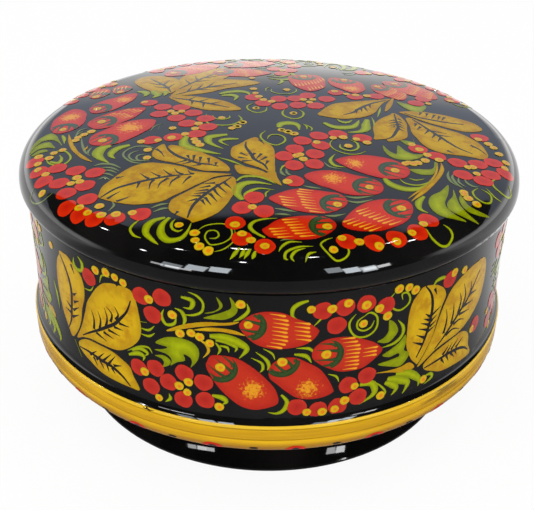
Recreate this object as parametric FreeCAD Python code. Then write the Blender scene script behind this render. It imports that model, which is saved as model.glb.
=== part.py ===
import FreeCAD, Part
import math
import os

os.makedirs("parts", exist_ok=True)

# Sizes in millimetres. The box stands on z = 0 and the turning axis is Z.

# Drum wall, which the bead and the lid take their radii from
WALL_TOP_R = 97.7
WALL_HEIGHT = 53.6
WALL_HOLLOW = 0.5
WALL_LOW_GROWTH = 0.3
WALL_THICKNESS = 8.2
WALL_TOP_BEVEL = 0.5
WALL_MOUTH_BEVEL = 0.8
LIP_FLARE = 2.1
LIP_COVE_HEIGHT = 3.4
REBATE_WIDTH = 4.0
REBATE_HEIGHT = 4.0

# Foot ring
FOOT_RIM_R = 82.9
FOOT_RIM_EDGE = 1.7
FOOT_RIM_BEVEL = 0.4
FOOT_NECK_R = 72.5
FOOT_HEIGHT = 24.8
FOOT_NECK_LAND = 1.3
FOOT_SEAT_WIDTH = 10.5
FOOT_BORE_R = 61.0
FOOT_BORE_HEIGHT = 12.4
FOOT_TENON_WIDTH = 6.0
FOOT_TENON_HEIGHT = 3.0

# Base plate with the gold bead as its rim
BEAD_HEIGHT = 13.3
BEAD_PROUD = 0.5
BEAD_LOWER_ROUND = 5.0
BEAD_RIDGE_ROUND = 0.8
BEAD_RIDGE_SWEEP_DEG = 60.0
BEAD_GROOVE_DEPTH = 0.35
BEAD_GROOVE_DROP = 1.08
BEAD_GROOVE_SLOPE = 0.42
BEAD_LINE_DEPTH = 0.3
BEAD_LINE_FROM_TOP = 6.1
BEAD_BAND_LEAN = 0.5
BEAD_BAND_CROWN = 0.4
FLOOR_THICKNESS = 9.0
FLOOR_COVE = 5.0

# Lid
LID_OVERHANG = 2.3
LID_RISE = 19.3
LID_EDGE_HEIGHT = 3.5
LID_SHOULDER_ROUND = 10.0
LID_THICKNESS = 8.0
LID_HOLLOW_ROUND = 4.0
SPIGOT_DEPTH = 5.5
SPIGOT_WIDTH = 5.5
SPIGOT_BEVEL = 0.8

# Fits
GLUE_GAP = 0.1
LID_CLEARANCE = 0.4

# Heights that follow
Z_FOOT_TOP = FOOT_HEIGHT
Z_BEAD_TOP = Z_FOOT_TOP + BEAD_HEIGHT
Z_SEAM = Z_BEAD_TOP + WALL_HEIGHT
Z_FLOOR = Z_FOOT_TOP + FLOOR_THICKNESS
Z_APEX = Z_SEAM + LID_RISE

# Radii that follow
LIP_R = WALL_TOP_R + LIP_FLARE
BEAD_R = LIP_R + BEAD_PROUD
LID_R = WALL_TOP_R + LID_OVERHANG
MOUTH_R = WALL_TOP_R - WALL_THICKNESS
REBATE_R = MOUTH_R + REBATE_WIDTH
SPIGOT_R = MOUTH_R - LID_CLEARANCE


def point(r, z):
    return FreeCAD.Vector(r, 0.0, z)


class Outline:
    """A closed half section in the plane of the turning axis, drawn point to point."""

    def __init__(self, r, z):
        self.start = point(r, z)
        self.here = self.start
        self.edges = []

    def line(self, r, z):
        end = point(r, z)
        if end.distanceToPoint(self.here) > 1e-6:
            self.edges.append(Part.makeLine(self.here, end))
            self.here = end
        return self

    def bow(self, mid_r, mid_z, r, z):
        end = point(r, z)
        self.edges.append(Part.Arc(self.here, point(mid_r, mid_z), end).toShape())
        self.here = end
        return self

    def arc(self, centre_r, centre_z, radius, angle_from, angle_to):
        """Arc about a centre; angles in degrees, 0 outwards and 90 upwards."""
        def on(angle):
            a = math.radians(angle)
            return centre_r + radius * math.cos(a), centre_z + radius * math.sin(a)
        self.line(*on(angle_from))
        middle = on((angle_from + angle_to) / 2.0)
        end = on(angle_to)
        return self.bow(middle[0], middle[1], end[0], end[1])

    def turned(self):
        if self.here.distanceToPoint(self.start) > 1e-6:
            self.edges.append(Part.makeLine(self.here, self.start))
        wire = Part.Wire(self.edges)
        face = Part.Face(wire)
        origin = FreeCAD.Vector(0, 0, 0)
        solid = face.revolve(origin, FreeCAD.Vector(0, 0, 1), 360)
        if solid.Volume < 0:
            solid.reverse()
        return solid


def upright_cove(reach, height):
    """Radius of an arc that starts upright and moves out by reach over height."""
    return (reach * reach + height * height) / (2.0 * reach)


# Foot ring: upright neck, long cove out to a thin rim, tenon on top
def foot_ring():
    cove_top = Z_FOOT_TOP - FOOT_NECK_LAND
    reach = FOOT_RIM_R - FOOT_RIM_BEVEL - FOOT_NECK_R
    drop = cove_top - FOOT_RIM_EDGE
    cove = upright_cove(reach, drop)
    sweep = math.degrees(math.asin(drop / cove))
    tenon_r = FOOT_BORE_R + FOOT_TENON_WIDTH
    tenon_top = Z_FOOT_TOP + FOOT_TENON_HEIGHT
    o = Outline(FOOT_RIM_R - FOOT_SEAT_WIDTH, 0.0)
    o.line(FOOT_RIM_R - FOOT_RIM_BEVEL, 0.0)
    o.line(FOOT_RIM_R, FOOT_RIM_BEVEL)
    o.line(FOOT_RIM_R, FOOT_RIM_EDGE - FOOT_RIM_BEVEL)
    o.arc(FOOT_NECK_R + cove, cove_top, cove, 180 + sweep, 180)
    o.line(FOOT_NECK_R, Z_FOOT_TOP)
    o.line(tenon_r, Z_FOOT_TOP)
    o.line(tenon_r, tenon_top)
    o.line(FOOT_BORE_R, tenon_top)
    o.line(FOOT_BORE_R, FOOT_BORE_HEIGHT)
    return o.turned()


# Base plate: floor disc, gold bead on its rim, spigot up into the drum wall
def base_plate():
    ridge_z = Z_BEAD_TOP - BEAD_RIDGE_ROUND
    ridge_r = BEAD_R - BEAD_RIDGE_ROUND
    ridge_end_r = ridge_r + BEAD_RIDGE_ROUND * math.cos(math.radians(BEAD_RIDGE_SWEEP_DEG))
    groove_r = ridge_end_r - BEAD_GROOVE_DEPTH
    groove_z = ridge_z - BEAD_GROOVE_DROP
    band_top_r = BEAD_R - BEAD_BAND_LEAN
    band_top_z = groove_z - BEAD_GROOVE_SLOPE
    line_z = Z_BEAD_TOP - BEAD_LINE_FROM_TOP
    lower_z = Z_FOOT_TOP + BEAD_LOWER_ROUND
    spigot_top = Z_BEAD_TOP + REBATE_HEIGHT - GLUE_GAP
    spigot_r = REBATE_R - GLUE_GAP
    socket_r = FOOT_BORE_R + FOOT_TENON_WIDTH + GLUE_GAP
    socket_z = Z_FOOT_TOP + FOOT_TENON_HEIGHT + GLUE_GAP
    band_mid_z = (band_top_z + line_z) / 2.0
    o = Outline(0.0, socket_z)
    o.line(socket_r, socket_z)
    o.line(socket_r, Z_FOOT_TOP)
    o.arc(BEAD_R - BEAD_LOWER_ROUND, lower_z, BEAD_LOWER_ROUND, -90, 0)
    o.line(BEAD_R, line_z - BEAD_LINE_DEPTH)
    o.line(BEAD_R - BEAD_LINE_DEPTH, line_z)
    o.line(BEAD_R, line_z + BEAD_LINE_DEPTH)
    o.bow(band_top_r + BEAD_BAND_CROWN, band_mid_z, band_top_r, band_top_z)
    o.line(groove_r, groove_z)
    o.arc(ridge_r, ridge_z, BEAD_RIDGE_ROUND, -BEAD_RIDGE_SWEEP_DEG, 90)
    o.line(spigot_r, Z_BEAD_TOP)
    o.line(spigot_r, spigot_top)
    o.line(MOUTH_R, spigot_top)
    o.arc(MOUTH_R - FLOOR_COVE, Z_FLOOR + FLOOR_COVE, FLOOR_COVE, 0, -90)
    o.line(0.0, Z_FLOOR)
    return o.turned()


# Drum wall: hollow-sided ring, lip cove at the bottom, rebate for the base plate
def drum_wall():
    cove_top = Z_BEAD_TOP + LIP_COVE_HEIGHT
    low_r = WALL_TOP_R + WALL_LOW_GROWTH
    mid_r = (WALL_TOP_R + low_r) / 2.0 - WALL_HOLLOW
    top_z = Z_SEAM - WALL_TOP_BEVEL
    cove = upright_cove(LIP_R - low_r, LIP_COVE_HEIGHT)
    sweep = math.degrees(math.asin(min(1.0, LIP_COVE_HEIGHT / cove)))
    rebate_z = Z_BEAD_TOP + REBATE_HEIGHT
    o = Outline(REBATE_R, Z_BEAD_TOP)
    o.line(LIP_R, Z_BEAD_TOP)
    o.arc(low_r + cove, cove_top, cove, 180 + sweep, 180)
    o.bow(mid_r, (cove_top + top_z) / 2.0, WALL_TOP_R, top_z)
    o.line(WALL_TOP_R - WALL_TOP_BEVEL, Z_SEAM)
    o.line(MOUTH_R + WALL_MOUTH_BEVEL, Z_SEAM)
    o.line(MOUTH_R, Z_SEAM - WALL_MOUTH_BEVEL)
    o.line(MOUTH_R, rebate_z)
    o.line(REBATE_R, rebate_z)
    return o.turned()


# Lid: dome arc, tangent shoulder arc, rounded skirt edge, seat, spigot, hollow inside
def tangent_dome(radius, rise, shoulder):
    """Dome radius, and the sweep angle at which it meets a shoulder arc of its own tangent."""
    across = radius - shoulder
    dome = (across ** 2 + rise ** 2 - shoulder ** 2) / (2.0 * (rise - shoulder))
    angle = math.degrees(math.atan2(dome - rise, across))
    return dome, angle


def lid():
    widest_z = Z_SEAM + LID_EDGE_HEIGHT
    rise = Z_APEX - widest_z
    dome, angle = tangent_dome(LID_R, rise, LID_SHOULDER_ROUND)
    hollow_r = SPIGOT_R - SPIGOT_WIDTH
    hollow_z = Z_APEX - LID_THICKNESS
    hollow_rise = hollow_z - widest_z
    hollow, hollow_angle = tangent_dome(hollow_r, hollow_rise, LID_HOLLOW_ROUND)
    spigot_z = Z_SEAM - SPIGOT_DEPTH
    o = Outline(0.0, hollow_z)
    o.arc(0.0, hollow_z - hollow, hollow, 90, hollow_angle)
    o.arc(hollow_r - LID_HOLLOW_ROUND, widest_z, LID_HOLLOW_ROUND, hollow_angle, 0)
    o.line(hollow_r, spigot_z + SPIGOT_BEVEL)
    o.line(hollow_r + SPIGOT_BEVEL, spigot_z)
    o.line(SPIGOT_R - SPIGOT_BEVEL, spigot_z)
    o.line(SPIGOT_R, spigot_z + SPIGOT_BEVEL)
    o.line(SPIGOT_R, Z_SEAM)
    o.arc(LID_R - LID_EDGE_HEIGHT, widest_z, LID_EDGE_HEIGHT, -90, 0)
    o.arc(LID_R - LID_SHOULDER_ROUND, widest_z, LID_SHOULDER_ROUND, 0, angle)
    o.arc(0.0, Z_APEX - dome, dome, angle, 90)
    return o.turned()


NODES = {
    "foot_ring": foot_ring(),
    "base_plate": base_plate(),
    "drum_wall": drum_wall(),
    "lid": lid(),
}

for name, shape in NODES.items():
    print(name, "valid", shape.isValid(), "solids", len(shape.Solids), "volume", round(shape.Volume, 1))
    shape.exportStep("parts/" + name + ".step")
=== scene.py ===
import math

import bpy
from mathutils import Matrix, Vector
from mathutils.geometry import delaunay_2d_cdt


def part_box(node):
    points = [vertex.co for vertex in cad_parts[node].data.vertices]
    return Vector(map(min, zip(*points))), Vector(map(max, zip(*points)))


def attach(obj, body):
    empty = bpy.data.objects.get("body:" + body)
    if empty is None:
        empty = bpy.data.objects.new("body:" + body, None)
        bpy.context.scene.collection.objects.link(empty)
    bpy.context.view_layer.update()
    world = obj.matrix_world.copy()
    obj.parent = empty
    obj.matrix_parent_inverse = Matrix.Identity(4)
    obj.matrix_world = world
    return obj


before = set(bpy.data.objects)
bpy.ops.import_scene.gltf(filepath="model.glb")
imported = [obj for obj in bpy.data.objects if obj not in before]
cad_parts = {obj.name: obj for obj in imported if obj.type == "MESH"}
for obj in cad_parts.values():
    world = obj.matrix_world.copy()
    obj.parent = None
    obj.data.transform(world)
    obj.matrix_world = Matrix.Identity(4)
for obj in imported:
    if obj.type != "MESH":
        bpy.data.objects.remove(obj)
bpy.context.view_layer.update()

MM = 0.001

# Turned sizes of the box in millimetres, as the solids have them
LID_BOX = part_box("lid")
WALL_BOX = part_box("drum_wall")
LID_R = LID_BOX[1].x / MM
APEX_Z = LID_BOX[1].z / MM
SEAM_Z = WALL_BOX[1].z / MM
BEAD_TOP_Z = WALL_BOX[0].z / MM
LID_EDGE_HEIGHT = 3.5
LID_SHOULDER_ROUND = 10.0
WALL_R = 97.7
WALL_FOOT_R = 98.0
WALL_HOLLOW = 0.5
WALL_TOP_GAP = 0.5
WALL_COVE_TOP_Z = BEAD_TOP_Z + 3.4
BORE_R = 89.5
BEAD_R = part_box("base_plate")[1].x / MM
BEAD_HEIGHT = 13.3
BEAD_LOWER_ROUND = 5.0
BEAD_RIDGE_ROUND = 0.8


# Noises as scale, detail and roughness; streaks as scale round the turning axis, scale across it and detail
GLOSS_CLOUD = (55.0, 5.0, 0.6)
LACQUER_WAVES = (70.0, 2.0, 0.4)
BLACK_CLOUD = (24.0, 5.0, 0.6)
HONEY_CLOUD = (14.0, 3.0, 0.55)
HONEY_STREAKS = (1.2, 420.0, 4.0)
LINDEN_STREAKS = (2.0, 600.0, 5.0)
BEAD_CLOUD = (30.0, 3.0, 0.5)
BEAD_WEAR = (17.0, 2.0, 0.5)
BEAD_STREAKS = (2.2, 700.0, 4.0)
BRUSH_GRAIN = (420.0, 3.0, 0.6)
SPONGE_GRAIN = (1050.0, 3.0, 0.7)
PAINT_PATCHES = (200.0, 4.0, 0.6)
FLOOR_GRAIN = (60.0, 3.0, 0.5)

LACQUER_IOR = 1.5
LACQUER_ROUGHNESS = (0.03, 0.06)
LACQUER_WAVE_HEIGHT = 0.000014
BEAD_ROUGHNESS = (0.10, 0.17)
BEAD_WAVE_HEIGHT = 0.000012


# Node graphs

class Value:
    """An output in a node graph; +, - and * make the nodes that work them out."""

    def __init__(self, graph, socket):
        self.graph, self.socket = graph, socket

    def math(self, operation, other=None, clamp=False):
        n = self.graph.node("Math", self, other)
        n.operation, n.use_clamp = operation, clamp
        return Value(self.graph, n.outputs[0])

    def __add__(self, other):
        return self.math("ADD", other)

    def __sub__(self, other):
        return self.math("SUBTRACT", other)

    def __mul__(self, other):
        return self.math("MULTIPLY", other)

    def ramp(self, low, high, out_low=0.0, out_high=1.0):
        """Smooth step from one output to the other between two limits."""
        n = self.graph.node("MapRange", self, low, high, out_low, out_high)
        n.interpolation_type = "SMOOTHSTEP"
        return Value(self.graph, n.outputs[0])

    def below(self, limit, blur=0.00005):
        return self.ramp(limit - blur, limit + blur, 1.0, 0.0)


class Graph:
    """The nodes of a material or of the world."""

    def __init__(self, owner):
        owner.use_nodes = True
        self.owner, self.tree = owner, owner.node_tree
        self.tree.nodes.clear()

    def node(self, kind, *values):
        """New node with its first inputs set or linked."""
        n = self.tree.nodes.new("ShaderNode" + kind)
        for socket, value in zip(n.inputs, values):
            self.put(socket, value)
        return n

    def first(self, kind, *values):
        """First output of a new node."""
        return Value(self, self.node(kind, *values).outputs[0])

    def put(self, socket, value):
        if isinstance(value, Value):
            self.tree.links.new(value.socket, socket)
        elif value is not None:
            socket.default_value = (*value, 1.0) if isinstance(value, tuple) and len(value) == 3 else value

    def ray(self, kind):
        return Value(self, self.node("LightPath").outputs["Is %s Ray" % kind])

    def mix(self, factor, a, b):
        n = self.node("Mix")
        n.data_type = "RGBA"
        for index, value in ((0, factor), (6, a), (7, b)):
            self.put(n.inputs[index], value)
        return Value(self, n.outputs[2])

    def place(self, kind="Object"):
        return Value(self, self.node("TexCoord").outputs[kind])

    def split(self, vector):
        return [Value(self, socket) for socket in self.node("SeparateXYZ", vector).outputs]

    def noise(self, scale, detail, roughness, vector=None):
        n = self.node("TexNoise", vector or self.place())
        for key, value in (("Scale", scale), ("Detail", detail), ("Roughness", roughness)):
            n.inputs[key].default_value = value
        return Value(self, n.outputs["Fac"])

    def polar(self):
        """Angle round the turning axis, and distance from it and height in metres."""
        x, y, z = self.split(self.place())
        return y.math("ARCTAN2", x), (x * x + y * y).math("SQRT"), z

    def streaks(self, around, across, detail):
        """Noise in long streaks round the turning axis, with its scales round it and across."""
        angle, radius, z = self.polar()
        sine, cosine = angle.math("SINE"), angle.math("COSINE")
        vector = self.first("CombineXYZ", sine * around, cosine * around, (radius + z) * across)
        return self.noise(1.0, detail, 0.6, vector)


class Surface(Graph):
    """A new material with one Principled shader."""

    def __init__(self, name):
        super().__init__(bpy.data.materials.new(name))
        self.bsdf = self.node("BsdfPrincipled")
        self.node("OutputMaterial", Value(self, self.bsdf.outputs["BSDF"]))

    def attribute(self, name):
        n = self.node("Attribute")
        n.attribute_name = name
        return Value(self, n.outputs["Fac"])

    def coated(self, colour, roughness, waves, wave_height):
        """The material with its colour under a clear coat."""
        bump = self.node("Bump")
        self.put(bump.inputs["Height"], waves)
        for socket, value in ((bump.inputs["Strength"], 1.0), (bump.inputs["Distance"], wave_height),
                              (self.bsdf.inputs["Base Color"], colour), (self.bsdf.inputs["Roughness"], roughness),
                              (self.bsdf.inputs["IOR"], LACQUER_IOR),
                              (self.bsdf.inputs["Normal"], Value(self, bump.outputs["Normal"]))):
            self.put(socket, value)
        return self.owner

    def lacquered(self, colour):
        """Clear gloss over everything: fine variation of the gloss and a faint waviness from the turning."""
        roughness = self.noise(*GLOSS_CLOUD).ramp(0.3, 0.7, *LACQUER_ROUGHNESS)
        return self.coated(colour, roughness, self.noise(*LACQUER_WAVES), LACQUER_WAVE_HEIGHT)


# Materials

BLACK_DEEP = (0.0022, 0.0021, 0.0020)
BLACK_WORN = (0.0062, 0.0058, 0.0055)
HONEY_LIGHT = (0.62, 0.30, 0.060)
HONEY_DARK = (0.36, 0.14, 0.020)
GOLD_LIGHT = (0.70, 0.40, 0.003)
GOLD_DARK = (0.47, 0.25, 0.003)
GOLD_DEEP_BROWN = (0.035, 0.018, 0.004)
# Painted light on the bead: shade on its underside, highlight on its ridge and a dark reflection on its band
GOLD_SHADE_WARM = (0.30, 0.13, 0.008)
GOLD_HIGHLIGHT_CREAM = (0.84, 0.58, 0.045)
GOLD_REFLECTION_OCHRE = (0.38, 0.19, 0.002)
LINDEN_LIGHT = (0.56, 0.36, 0.17)
LINDEN_DARK = (0.38, 0.21, 0.09)

# Where the insides begin, in metres: within the bores, and below a dome halfway into the lid
WALL_INSIDE_R = (BORE_R + 0.3) * MM
LID_INSIDE_R = (BORE_R - 0.1) * MM
LID_INSIDE_TOP = APEX_Z * MM - 0.004
LID_INSIDE_DOME_R = 0.711
FOOT_INSIDE_R = 0.0715
PLATE_INSIDE_R = 0.0720


def honey_colour(g):
    grain = g.streaks(*HONEY_STREAKS) * 0.6 + g.noise(*HONEY_CLOUD) * 0.4
    return g.mix(grain.ramp(0.38, 0.62), HONEY_DARK, HONEY_LIGHT)


def black_colour(g):
    return g.mix(g.noise(*BLACK_CLOUD).ramp(0.35, 0.7), BLACK_DEEP, BLACK_WORN)


def linden_colour(g, grain=None):
    grain = grain or g.streaks(*LINDEN_STREAKS)
    return g.mix(grain.ramp(0.4, 0.6), LINDEN_DARK, LINDEN_LIGHT)


def body_material(name, is_inside, inside_colour=honey_colour):
    """Black lacquer outside and another colour where the mask says inside."""
    g = Surface(name)
    angle, radius, z = g.polar()
    return g.lacquered(g.mix(is_inside(radius, z), black_colour(g), inside_colour(g)))


def lid_inside(radius, z):
    dome = radius * radius * (0.5 / LID_INSIDE_DOME_R)
    return (z + dome).below(LID_INSIDE_TOP) * radius.below(LID_INSIDE_R)


# Heights on the bead in metres: for the groove, the scribed line and the band of painted reflection, where each starts,
# is full, fades and ends; for the ridge's painted highlight, the underside's painted shade and the plate, where each
# starts and is full
GROOVE = (0.0358, 0.0362, 0.0363, 0.0367)
SCRIBED_LINE = (0.0317, 0.0320, 0.0321, 0.0324)
BAND_PAINTED_REFLECTION = (0.0314, 0.0322, 0.0336, 0.0356)
RIDGE_PAINTED_HIGHLIGHT = (0.0364, 0.0374)
UNDERSIDE_PAINTED_SHADE = (0.0312, 0.0284)
PLATE_TOP_PAINT = (0.0325, 0.0330)
PLATE_UNDER_BARE = (0.0325, 0.0320)


def band(z, start, full, fading, end, strength=1.0):
    return z.ramp(end, fading) * z.ramp(start, full, 0.0, strength)


def bead_material():
    """Gold with fine turned streaks and scratches, darker in its groove and along its line, with a painted highlight on
    the ridge, a painted reflection darkening the band and painted shade on the underside.
    """
    g = Surface("bead_gold")
    angle, radius, z = g.polar()
    fine = g.streaks(*BEAD_STREAKS)
    gold = g.mix((fine * 0.65 + g.noise(*BEAD_CLOUD) * 0.35).ramp(0.30, 0.62), GOLD_DARK, GOLD_LIGHT)
    # The groove and the scribed line are darkened to deep brown; worn scratches below use the same brown
    cut = band(z, *GROOVE).math("MAXIMUM", band(z, *SCRIBED_LINE))
    gold = g.mix(cut * 0.35, gold, GOLD_DEEP_BROWN)
    scratch = fine.ramp(0.60, 0.66) * g.noise(*BEAD_WEAR).ramp(0.55, 0.66)
    gold = g.mix(scratch * 0.7, gold, GOLD_DEEP_BROWN)
    # Painted highlight: the ridge is lightened towards cream
    gold = g.mix(z.ramp(*RIDGE_PAINTED_HIGHLIGHT, 0.0, 0.45), gold, GOLD_HIGHLIGHT_CREAM)
    # Painted reflection: where the band faces up it is darkened to ochre, as the dark room would show in it
    gold = g.mix(band(z, *BAND_PAINTED_REFLECTION, strength=0.55), gold, GOLD_REFLECTION_OCHRE)
    # Painted shade: the underside of the bead is darkened and warmed
    gold = g.mix(z.ramp(*UNDERSIDE_PAINTED_SHADE, 0.0, 0.85), gold, GOLD_SHADE_WARM)
    gold = g.mix(radius.below(WALL_INSIDE_R) * z.ramp(*PLATE_TOP_PAINT), gold, honey_colour(g))
    under = radius.below(PLATE_INSIDE_R) * z.ramp(*PLATE_UNDER_BARE)
    colour = g.mix(under, gold, linden_colour(g, fine))
    return g.coated(colour, fine.ramp(0.3, 0.7, *BEAD_ROUGHNESS), fine, BEAD_WAVE_HEIGHT)


def give(node, mat):
    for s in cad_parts[node].material_slots:
        s.material = mat


give("lid", body_material("lid_lacquer", lid_inside))
give("drum_wall", body_material("wall_lacquer", lambda radius, z: radius.below(WALL_INSIDE_R)))
give("base_plate", bead_material())
give("foot_ring", body_material("foot_lacquer", lambda radius, z: radius.below(FOOT_INSIDE_R), linden_colour))

# Painting: each colour on each body is one thin film of paint that follows the turned surface.
# Lid places are in millimetres along the dome from its middle, x to the right and y away from the front;
# wall places are millimetres round the wall from the front, to the right, and height in z.

FILM_BASE = 0.09
FILM_STEP = 0.025
FILM_ROOT = -0.03
RIM_TONE_WIDTH = 3.0
DISC_RINGS = (0.62, 0.86, 1.0)
STROKE_STEP = 0.7
THINNEST = 0.06

DOME_ACROSS = LID_R - LID_SHOULDER_ROUND
DOME_RISE = APEX_Z - SEAM_Z - LID_EDGE_HEIGHT
DOME_R = (DOME_ACROSS ** 2 + DOME_RISE ** 2 - LID_SHOULDER_ROUND ** 2) / (2 * (DOME_RISE - LID_SHOULDER_ROUND))
DOME_TILT = math.atan2(DOME_ACROSS, DOME_R - DOME_RISE)
DOME_ARC = DOME_R * DOME_TILT


def on_axis(r, turn, z):
    return Vector((r * math.cos(turn), r * math.sin(turn), z))


def lid_place(x, y, height):
    """Point and normal on the lid for a place along its dome and shoulder."""
    s, turn = math.hypot(x, y), math.atan2(y, x)
    if s < DOME_ARC:
        tilt = s / DOME_R
        r, z = (DOME_R + height) * math.sin(tilt), APEX_Z - DOME_R + (DOME_R + height) * math.cos(tilt)
    else:
        tilt = DOME_TILT + (s - DOME_ARC) / LID_SHOULDER_ROUND
        reach = LID_SHOULDER_ROUND + height
        r, z = DOME_ACROSS + reach * math.sin(tilt), SEAM_Z + LID_EDGE_HEIGHT + reach * math.cos(tilt)
    return on_axis(r, turn, z) * MM, on_axis(math.sin(tilt), turn, math.cos(tilt))


def wall_place(a, z, height):
    """Point and normal on the hollow-sided wall for a distance round it and a height."""
    tall = SEAM_Z - WALL_TOP_GAP - WALL_COVE_TOP_Z
    u = (z - WALL_COVE_TOP_Z) / tall
    r = WALL_FOOT_R + (WALL_R - WALL_FOOT_R) * u - 4 * WALL_HOLLOW * u * (1 - u)
    slope = ((WALL_R - WALL_FOOT_R) - 4 * WALL_HOLLOW * (1 - 2 * u)) / tall
    turn = a / WALL_R - math.pi / 2
    normal = on_axis(1.0, turn, -slope).normalized()
    return on_axis(r, turn, z) * MM + normal * height * MM, normal


def spline(points, closed=False, step=0.8):
    """Smooth line through the points; a point written twice makes a sharp corner."""
    n = len(points)
    out = []
    for i in range(n if closed else n - 1):
        p1, p2 = points[i], points[(i + 1) % n]
        p0 = points[i - 1] if closed or i > 0 else p1
        p3 = points[(i + 2) % n] if closed or i + 2 < n else p2
        length = math.hypot(p2[0] - p1[0], p2[1] - p1[1])
        if length < 1e-6:
            continue
        count = max(2, math.ceil(length / step))
        for k in range(count):
            t = k / count
            out.append(tuple(0.5 * (2 * b + (c - a) * t + (2 * a - 5 * b + 4 * c - d) * t ** 2
                                    + (3 * b - a - 3 * c + d) * t ** 3)
                             for a, b, c, d in zip(p0, p1, p2, p3)))
    if not closed:
        out.append(tuple(points[-1]))
    return out


def pairs(flat):
    return list(zip(flat[0::2], flat[1::2]))


def sides_of(loop):
    return zip(loop, loop[1:] + loop[:1])


def inside(p, loop):
    hit = False
    for (x1, y1), (x2, y2) in sides_of(loop):
        if (y1 > p[1]) != (y2 > p[1]) and p[0] < (x2 - x1) * (p[1] - y1) / (y2 - y1) + x1:
            hit = not hit
    return hit


def nearest(p, loop):
    return min(math.hypot(p[0] - q[0], p[1] - q[1]) for q in loop)


class Film:
    """A thin closed-edged film of one paint colour on one body."""

    def __init__(self, name, body, place, layer=0):
        self.name, self.body, self.place = name, body, place
        self.height = FILM_BASE + FILM_STEP * layer
        self.points, self.faces, self.tone, self.dab = [], [], [], []

    def add(self, points, faces, tone, dab=None):
        base = len(self.points)
        self.points += points
        self.tone += tone
        self.dab += dab or [0.0] * len(points)
        for f in faces:
            area = sum(points[a][0] * points[b][1] - points[b][0] * points[a][1] for a, b in sides_of(f))
            if abs(area) > 1e-9:
                self.faces.append([base + i for i in (f if area > 0 else f[::-1])])

    def disc(self, x, y, r, tall=1.0, lean=0.0, count=20):
        """Round dab; the tone runs from 0 in its middle to 1 at its rim."""
        points, tone, faces = [(x, y)], [0.0], []
        for ring, share in enumerate(DISC_RINGS):
            for k in range(count):
                t = 2 * math.pi * k / count
                wobble = 1 + 0.025 * math.sin(3 * t + 7 * x) + 0.02 * math.sin(5 * t + 3 * y)
                u, v = r * share * wobble * math.cos(t), r * share * wobble * tall * math.sin(t)
                points.append((x + u * math.cos(lean) - v * math.sin(lean),
                               y + u * math.sin(lean) + v * math.cos(lean)))
                tone.append(share)
                j = (k + 1) % count
                if ring == 0:
                    faces.append([0, 1 + k, 1 + j])
                else:
                    a, b = 1 + (ring - 1) * count, 1 + ring * count
                    faces.append([a + k, b + k, b + j, a + j])
        self.add(points, faces, tone)

    def stroke(self, line):
        """Brush stroke through (x, y, width) points."""
        path = spline(line, step=STROKE_STEP)
        points, faces = [], []
        for i, (x, y, w) in enumerate(path):
            a, b = path[max(i - 1, 0)], path[min(i + 1, len(path) - 1)]
            dx, dy = b[0] - a[0], b[1] - a[1]
            size = math.hypot(dx, dy) or 1.0
            nx, ny = -dy / size * max(w, THINNEST) / 2, dx / size * max(w, THINNEST) / 2
            points += [(x + nx, y + ny), (x, y), (x - nx, y - ny)]
            if i:
                k = 3 * i
                faces += [[k - 3, k - 2, k + 1, k], [k - 2, k - 1, k + 2, k + 1]]
        self.add(points, faces, [1.0, 0.0, 1.0] * len(path))

    def shape(self, outline, grid=2.0, sponge=None):
        """Filled outline with inner points, so that it bends with the surface; sponge is a patch's x, y and reach."""
        loop = spline(outline, closed=True, step=0.9)
        xs, ys = zip(*loop)
        inner = []
        for i in range(int((max(xs) - min(xs)) / grid) + 1):
            for j in range(int((max(ys) - min(ys)) / grid) + 1):
                p = (min(xs) + (i + 0.5) * grid, min(ys) + (j + 0.5) * grid)
                if inside(p, loop) and nearest(p, loop) > 0.45 * grid:
                    inner.append(p)
        found = delaunay_2d_cdt([Vector(p) for p in loop + inner], [], [list(range(len(loop)))], 1, 1e-5)
        points = [tuple(v) for v in found[0]]
        tone = [max(0.0, 1.0 - nearest(p, loop) / RIM_TONE_WIDTH) for p in points]
        dab = sponge and [max(0.0, 1.0 - math.hypot(x - sponge[0], y - sponge[1]) / sponge[2]) for x, y in points]
        self.add(points, [list(f) for f in found[2]], tone, dab)

    def build(self, mat, slot):
        """The film's mesh: its points lifted off the surface, with a skirt round its rim down into it."""
        top = [self.place(x, y, self.height) for x, y in self.points]
        for p, n in top:
            p.z = min(p.z, APEX_Z * MM)
        edges = dict.fromkeys(side for f in self.faces for side in sides_of(f))
        rim = [(a, b) for a, b in edges if (b, a) not in edges]
        roots = {}
        for i in (i for side in rim for i in side):
            roots.setdefault(i, len(top) + len(roots))
        places = top + [self.place(*self.points[i], FILM_ROOT) for i in roots]
        mesh = bpy.data.meshes.new(self.name)
        mesh.from_pydata([p for p, n in places], [], self.faces + [[b, a, roots[a], roots[b]] for a, b in rim])
        for key, values in (("tone", self.tone), ("dab", self.dab)):
            attribute = mesh.attributes.new(key, "FLOAT", "POINT")
            attribute.data.foreach_set("value", values + [values[i] for i in roots])
        mesh.shade_smooth()
        mesh.normals_split_custom_set_from_vertices([n for p, n in places])
        mesh.materials.append(mat)
        o = bpy.data.objects.new(self.name, mesh)
        bpy.context.scene.collection.objects.link(o)
        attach(o, self.body)


def tapered(width, points):
    """Thin line of even width with pointed ends."""
    last = len(points) - 1
    return [(x, y, width if 0 < i < last else 0.15) for i, (x, y) in enumerate(points)]


def vein(width, points):
    """Black vein, thick at its first point and fading to a hair."""
    last = max(len(points) - 1, 1)
    return [(x, y, width * (1 - i / last) + 0.12) for i, (x, y) in enumerate(points)]


def comma(width, points):
    """Comma stroke: round start, widest after a third and drawn out to a point."""
    last = len(points) - 1
    out = []
    for i, (x, y) in enumerate(points):
        t = i / last
        out.append((x, y, width * (0.45 + 1.65 * t if t < 1 / 3 else 1.0 - 0.93 * ((t - 1 / 3) * 1.5) ** 1.6)))
    return out


# Lid painting: berries and dots as x, y places; outlines and lines as flat x, y lists

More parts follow.
